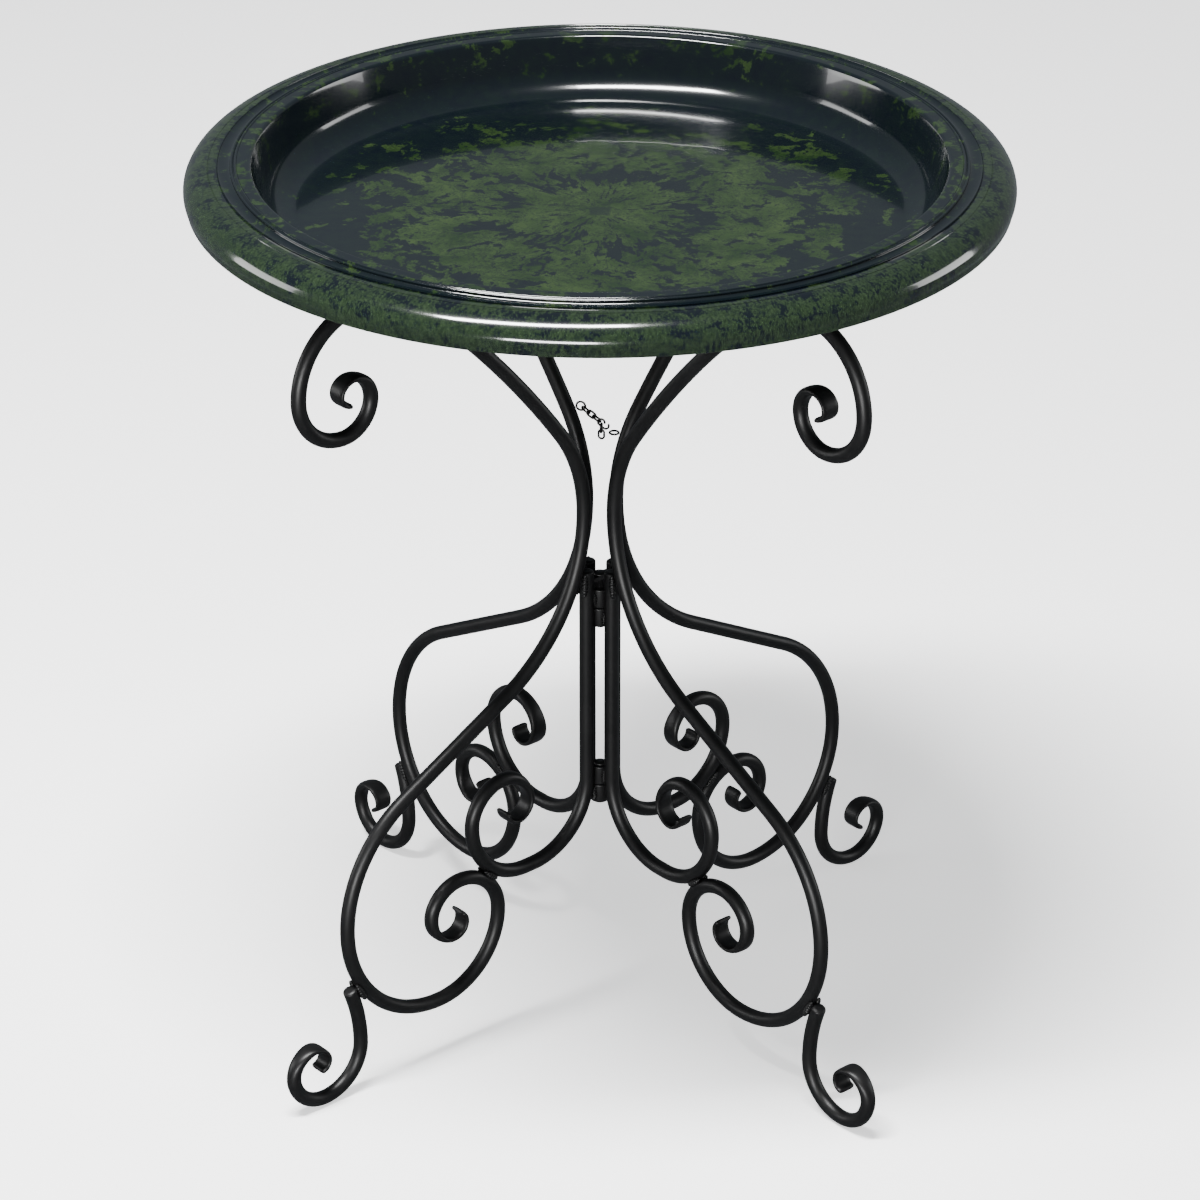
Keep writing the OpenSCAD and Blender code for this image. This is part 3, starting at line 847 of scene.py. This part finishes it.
def bowl_outline():
    """The bowl's section in mm, from its centre out over the rim and back underneath."""
    cx, cz, rx, rz = ROLL
    top = [(0, WALL)] + straight((0, WALL), (FLOOR_R, WALL), 34)
    top += arc(FLOOR_R, WALL + FLOOR_FILLET, FLOOR_FILLET, FLOOR_FILLET, -90, -20, 22)[1:]
    lip = arc(LIP_R + LIP_EDGE, BOWL_H - LIP_EDGE, LIP_EDGE, LIP_EDGE, 165, 90, 9)
    top += straight(top[-1], lip[0], 8) + lip[1:]
    top += straight(lip[-1], (BEAD_RS[0] - 1.0, BOWL_H), 4)
    for r, dip in zip(BEAD_RS, BEAD_DIPS):
        top += arc(r, BOWL_H - dip - 0.25, BEAD_SIZE, BEAD_SIZE, 165, 15, 10)
    channel_r, channel_dip, channel_half, channel_depth = CHANNEL
    top += arc(channel_r, BOWL_H - channel_dip, channel_half, channel_depth, 180, 360, 16)
    groove = math.degrees(math.acos((GROOVE_R - cx) / rx))
    top += arc(cx, cz, rx, rz, 100, groove + 1.4, 4)
    top += arc(cx, cz, rx - GROOVE_DEPTH, rz - GROOVE_DEPTH, groove + 0.5, groove - 0.5, 2)
    top += arc(cx, cz, rx, rz, groove - 1.4, -12, 44)

    skirt = arc(SKIRT_R + 0.5, SKIRT_Z + SKIRT_H - 0.4, 0.5, 0.4, 90, 180, 3)
    skirt += straight((SKIRT_R, SKIRT_Z + SKIRT_H), (SKIRT_R, SKIRT_Z + 0.6), 5)[1:]
    skirt += arc(SKIRT_R - 0.6, SKIRT_Z + 0.6, 0.6, 0.6, 0, -90, 5)
    inner = SKIRT_R - WALL * 0.7
    skirt += arc(inner + 0.5, SKIRT_Z + 0.5, 0.5, 0.5, -90, -180, 4)

    under = arc(cx, cz, rx - WALL, rz - WALL, -10, 95, 26)
    under += straight(under[-1], (LIP_R + 6, BOWL_H - WALL), 3)
    under += arc(LIP_R + WALL + 3, BOWL_H - WALL - 3, 3, 3, 90, 165, 7)
    fillet = FLOOR_FILLET + WALL
    wall_foot = arc(FLOOR_R, fillet, fillet, fillet, -20, -90, 22)
    under += straight(under[-1], wall_foot[0], 8) + wall_foot[1:]
    under += straight(wall_foot[-1], (0, 0), 30)
    outline = top + skirt + under
    kept = [outline[0]]
    for point in outline[1:]:
        if math.dist(point, kept[-1]) > 0.02:
            kept.append(point)
    return kept


def sharp_edges(piece, degrees):
    """Keep moulded corners crisp while the turned faces stay smooth."""
    bm = bmesh.new()
    bm.from_mesh(piece.data)
    for edge in bm.edges:
        if len(edge.link_faces) == 2 and edge.calc_face_angle() > math.radians(degrees):
            edge.smooth = False
    bm.to_mesh(piece.data)
    bm.free()


def ramp(tree, factor, stops):
    """Read a level off a list of (place, level), with straight lines between them."""
    made = node(tree, "ShaderNodeValToRGB", {"Fac": factor})
    band = made.color_ramp
    while len(band.elements) > 1:
        band.elements.remove(band.elements[-1])
    for i, (at, shade) in enumerate(stops):
        item = band.elements[0] if i == 0 else band.elements.new(at)
        item.position = at
        item.color = (shade, shade, shade, 1)
    return made.outputs["Color"]


def blend_colour(tree, factor, a, b):
    """Mix two colours, each a plain colour or the output of a node."""
    made = node(tree, "ShaderNodeMix", {"Factor": factor}, data_type="RGBA")
    for key, value in (("A", a), ("B", b)):
        socket = next(s for s in made.inputs if s.name == key and s.type == "RGBA")
        if isinstance(value, bpy.types.NodeSocket):
            tree.links.new(value, socket)
        else:
            socket.default_value = tuple(value) + (1,)
    return next(s for s in made.outputs if s.type == "RGBA")


MOSS_DARK, MOSS_LIGHT = (0.0040, 0.0112, 0.0028), (0.0142, 0.0265, 0.0072)
RIM_DARK, RIM_LIGHT = (0.0025, 0.0062, 0.0025), (0.0125, 0.0215, 0.0100)
SLATE_DARK, SLATE_LIGHT = (0.0012, 0.0022, 0.0042), (0.0022, 0.0050, 0.0044)
GATE_MARK = (0.0030, 0.0060, 0.0050)
RING_SPREAD = 0.034
OUTER_FROM = 0.2215
MARBLE_CRISPNESS = 34.0

# How far green wins over slate, and how grainy their border is, by share of the radius.
GREENNESS = [
    (0.0, 0.60), (0.05, 0.62), (0.17, 0.56), (0.26, 0.50), (0.34, 0.56), (0.46, 0.535),
    (0.56, 0.47), (0.66, 0.42), (0.74, 0.35), (0.80, 0.37), (0.835, 0.45), (0.865, 0.47),
    (0.885, 0.40), (0.915, 0.42), (0.928, 0.56), (0.95, 0.52), (0.98, 0.53), (1.0, 0.57)]
SPECKLE = [(0.0, 0.06), (0.83, 0.10), (0.92, 0.38), (1.0, 0.55)]
ON_FLOOR = [(0.0, 1.0), (0.74, 1.0), (0.82, 0.0), (1.0, 0.0)]
ON_ROLL = [(0.0, 0.0), (0.915, 0.0), (0.925, 1.0), (1.0, 1.0)]


def marbled_resin():
    """Moss green poured outward through near-black slate, under a clear gloss."""
    material = bpy.data.materials.new("Marbled green resin")
    material.use_nodes = True
    tree = material.node_tree
    shader = tree.nodes["Principled BSDF"]
    where = node(tree, "ShaderNodeTexCoord").outputs["Object"]
    level = vectors(tree, "MULTIPLY", where, (1, 1, 0))
    radius = vectors(tree, "LENGTH", level)
    outward = vectors(tree, "NORMALIZE", level)
    height = node(tree, "ShaderNodeSeparateXYZ", {0: where}).outputs["Z"]

    def noise(vector, scale, detail=4.0, rough=0.55, distortion=0.0):
        return node(tree, "ShaderNodeTexNoise", {
            "Vector": vector, "Scale": scale, "Detail": detail, "Roughness": rough,
            "Distortion": distortion})

    outer = maths(tree, "GREATER_THAN", radius, OUTER_FROM)
    climb = maths(tree, "MULTIPLY", height, maths(tree, "MULTIPLY_ADD", outer, -2.0, 1.0))
    run_out = maths(tree, "ADD", radius, climb)
    stir = noise(where, scale=17.0, detail=5.0, rough=0.60).outputs["Color"]
    drift = vectors(tree, "SUBTRACT", stir, (0.5, 0.5, 0.5))

    def polar(around, along):
        """A place by direction and by distance run outward, which makes radial streaks."""
        lifted = node(tree, "ShaderNodeCombineXYZ",
                      {"Z": maths(tree, "MULTIPLY", run_out, along)}).outputs[0]
        return vectors(tree, "ADD", vectors(tree, "SCALE", outward, scale=around), lifted)

    def drifted(vector, amount):
        """The same place, carried aside by the slow stirring of the pour."""
        return vectors(tree, "ADD", vector, vectors(tree, "SCALE", drift, scale=amount))

    def veins(scale, warp, width):
        """Fine dark lines, where a wandering level crosses its middle."""
        wander = noise(drifted(level, warp), scale, detail=8.0, rough=0.62,
                       distortion=1.6).outputs["Fac"]
        off = maths(tree, "ABSOLUTE", maths(tree, "SUBTRACT", wander, 0.5))
        return maths(tree, "MULTIPLY", off, 1 / width, clamp=True)

    # The pour: blots, petals and feathers on the floor, streaks on the wall and rim.
    pour = noise(drifted(level, 0.075), scale=33.0, detail=10.0, rough=0.60,
                 distortion=1.2).outputs["Fac"]
    petals = noise(drifted(polar(around=6.2, along=46.0), 2.6), scale=1.0, detail=10.0,
                   rough=0.60, distortion=0.7).outputs["Fac"]
    feather = noise(drifted(polar(around=15.0, along=110.0), 3.0), scale=1.0, detail=5.0,
                    distortion=0.6).outputs["Fac"]
    rings = maths(tree, "SINE", maths(tree, "MULTIPLY", vectors(
        tree, "LENGTH", drifted(level, 0.05)), 2 * math.pi / RING_SPREAD))
    streaks = noise(drifted(polar(around=20.0, along=90.0), 1.6), scale=1.0, detail=8.0,
                    rough=0.66, distortion=0.4).outputs["Fac"]
    fine = noise(polar(around=170.0, along=300.0), scale=1.0, rough=0.7).outputs["Fac"]
    marble = maths(tree, "ADD", maths(tree, "MULTIPLY_ADD", petals, 0.75,
                                      maths(tree, "MULTIPLY", pour, 0.65)),
                   maths(tree, "MULTIPLY_ADD", rings, 0.022,
                         maths(tree, "MULTIPLY_ADD", feather, 0.45, -0.425)))
    rim_flow = maths(tree, "MULTIPLY_ADD", streaks, 0.75, maths(tree, "MULTIPLY", pour, 0.25))
    share = maths(tree, "DIVIDE", radius, BOWL_R / 1000)
    flow = node(tree, "ShaderNodeMix", {"Factor": ramp(tree, share, ON_FLOOR),
                                        "A": rim_flow, "B": marble},
                data_type="FLOAT").outputs["Result"]

    # The border: where the flow is above its level the resin is green, less its veins.
    lean = maths(tree, "ADD", flow, maths(tree, "SUBTRACT", ramp(tree, share, GREENNESS), 0.5))
    grain = maths(tree, "MULTIPLY", maths(tree, "SUBTRACT", fine, 0.5),
                  ramp(tree, share, SPECKLE))
    cut = maths(tree, "MULTIPLY_ADD", maths(tree, "ADD", lean, grain),
                MARBLE_CRISPNESS, 0.5 - MARBLE_CRISPNESS / 2, clamp=True)
    veined = maths(tree, "MULTIPLY", veins(scale=30.0, warp=0.09, width=0.018),
                   veins(scale=62.0, warp=0.06, width=0.022))
    mask = maths(tree, "MULTIPLY", cut, maths(tree, "MULTIPLY_ADD", veined, 0.8, 0.2))

    # The colours, and a dark mark at the centre where the resin went into the mould.
    tone = noise(drifted(level, 0.06), scale=30.0, detail=8.0, rough=0.62).outputs["Fac"]
    moss = blend_colour(tree, maths(tree, "MULTIPLY_ADD", tone, 3.6, -1.35, clamp=True),
                        MOSS_DARK, MOSS_LIGHT)
    rim = blend_colour(tree, maths(tree, "MULTIPLY_ADD", fine, 2.6, -0.8, clamp=True),
                       RIM_DARK, RIM_LIGHT)
    green = blend_colour(tree, ramp(tree, share, ON_ROLL), moss, rim)
    slate = blend_colour(tree, maths(tree, "MULTIPLY_ADD", streaks, 2.0, -0.6, clamp=True),
                         SLATE_DARK, SLATE_LIGHT)
    blended = blend_colour(tree, mask, slate, green)
    spot = node(tree, "ShaderNodeSeparateXYZ", {0: drifted(level, 0.012)})
    gate = maths(tree, "ADD", maths(tree, "ABSOLUTE", spot.outputs["X"]),
                 maths(tree, "ABSOLUTE", spot.outputs["Y"]))
    gated = maths(tree, "MULTIPLY_ADD", gate, -420.0, 4.3, clamp=True)
    colour = blend_colour(tree, maths(tree, "MULTIPLY", gated, 0.75), blended, GATE_MARK)
    tree.links.new(colour, shader.inputs["Base Color"])
    shader.inputs["Roughness"].default_value = 0.14
    shader.inputs["Specular IOR Level"].default_value = 0.42
    shader.inputs["Coat Weight"].default_value = 0.5
    shader.inputs["Coat Roughness"].default_value = 0.03
    shader.inputs["Coat IOR"].default_value = 1.45
    swell = noise(where, scale=26.0, detail=2.0).outputs["Fac"]
    bump = node(tree, "ShaderNodeBump", {"Strength": 0.12, "Distance": 0.0006, "Height": swell})
    tree.links.new(bump.outputs["Normal"], shader.inputs["Normal"])
    tree.links.new(bump.outputs["Normal"], shader.inputs["Coat Normal"])
    return material


bowl_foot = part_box("bowl")[0][2]
bowl = turned("bowl_shell", [(r / 1000, bowl_foot + z / 1000) for r, z in bowl_outline()],
              steps=BOWL_STEPS, closed=False)
sharp_edges(bowl, CRISP_ANGLE)
bowl.data.materials.append(marbled_resin())
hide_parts("bowl")
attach(bowl, "bowl")


# ---- Studio
# A pale seamless floor that glows a little, one long softbox overhead, and low
# softboxes at both sides and in front. The camera is a long lens above the bowl.

LENS = 135
SENSOR = 36
VIEW_ROW_AZIMUTH = math.radians(229)
VIEW_ELEVATION = math.radians(27.0)
VIEW_DISTANCE = 2.88
AIM = Vector((0, 0, 0.2825))
LIGHT_AIM = (0, 0, 0.4)
FLOOR_REACH = 40.0
FLOOR_SHADE = (0.9, 0.9, 0.9, 1)
FLOOR_ROUGH = 0.9
FLOOR_GLOW = 0.84
AIR_COLOUR = (0.86, 0.93, 1.0, 1)
AIR_STRENGTH = 0.22

floor_mesh = bpy.data.meshes.new("studio_floor")
floor_mesh.from_pydata([(-FLOOR_REACH, -FLOOR_REACH, 0), (FLOOR_REACH, -FLOOR_REACH, 0),
                        (FLOOR_REACH, FLOOR_REACH, 0), (-FLOOR_REACH, FLOOR_REACH, 0)],
                       [], [(0, 1, 2, 3)])
floor = bpy.data.objects.new("studio_floor", floor_mesh)
bpy.context.collection.objects.link(floor)
paper = bpy.data.materials.new("Pale floor paper")
paper.use_nodes = True
paper_look = paper.node_tree.nodes["Principled BSDF"].inputs
paper_look["Base Color"].default_value = FLOOR_SHADE
paper_look["Roughness"].default_value = FLOOR_ROUGH
paper_look["Emission Color"].default_value = (1, 1, 1, 1)
paper_look["Emission Strength"].default_value = FLOOR_GLOW
floor.data.materials.append(paper)
floor.visible_glossy = False

world = bpy.data.worlds.new("Studio air")
world.use_nodes = True
air = world.node_tree.nodes["Background"].inputs
air["Color"].default_value = AIR_COLOUR
air["Strength"].default_value = AIR_STRENGTH
bpy.context.scene.world = world

toward_camera = Vector((math.cos(VIEW_ELEVATION) * math.cos(VIEW_ROW_AZIMUTH),
                        math.cos(VIEW_ELEVATION) * math.sin(VIEW_ROW_AZIMUTH),
                        math.sin(VIEW_ELEVATION)))
camera_data = bpy.data.cameras.new("Camera")
camera_data.lens = LENS
camera_data.sensor_width = SENSOR
camera = bpy.data.objects.new("Camera", camera_data)
camera.location = AIM + toward_camera * VIEW_DISTANCE
camera.rotation_euler = (-toward_camera).to_track_quat("-Z", "Y").to_euler()
bpy.context.collection.objects.link(camera)
bpy.context.scene.camera = camera


def softbox(name, around, up, away, size, power, aim=LIGHT_AIM):
    """A soft light at an angle around from the camera's side, looking at the stand."""
    turn = VIEW_ROW_AZIMUTH + math.radians(around)
    lift = math.radians(up)
    place = Vector(aim) + away * Vector((math.cos(lift) * math.cos(turn),
                                         math.cos(lift) * math.sin(turn), math.sin(lift)))
    data = bpy.data.lights.new(name, "AREA")
    data.shape = "RECTANGLE"
    data.size, data.size_y = size
    data.energy = power
    light = bpy.data.objects.new(name, data)
    light.location = place
    light.rotation_euler = (Vector(aim) - place).to_track_quat("-Z", "Y").to_euler()
    bpy.context.collection.objects.link(light)


softbox("Overhead softbox", around=8, up=76, away=2.4, size=(1.4, 0.34), power=290,
        aim=(-0.45, 0.39, 0.4))
softbox("Left softbox", around=-96, up=8, away=2.8, size=(1.2, 1.0), power=30)
softbox("Right softbox", around=100, up=8, away=2.8, size=(1.2, 1.0), power=26)
softbox("Front softbox", around=-12, up=1, away=2.7, size=(1.1, 0.4), power=110)
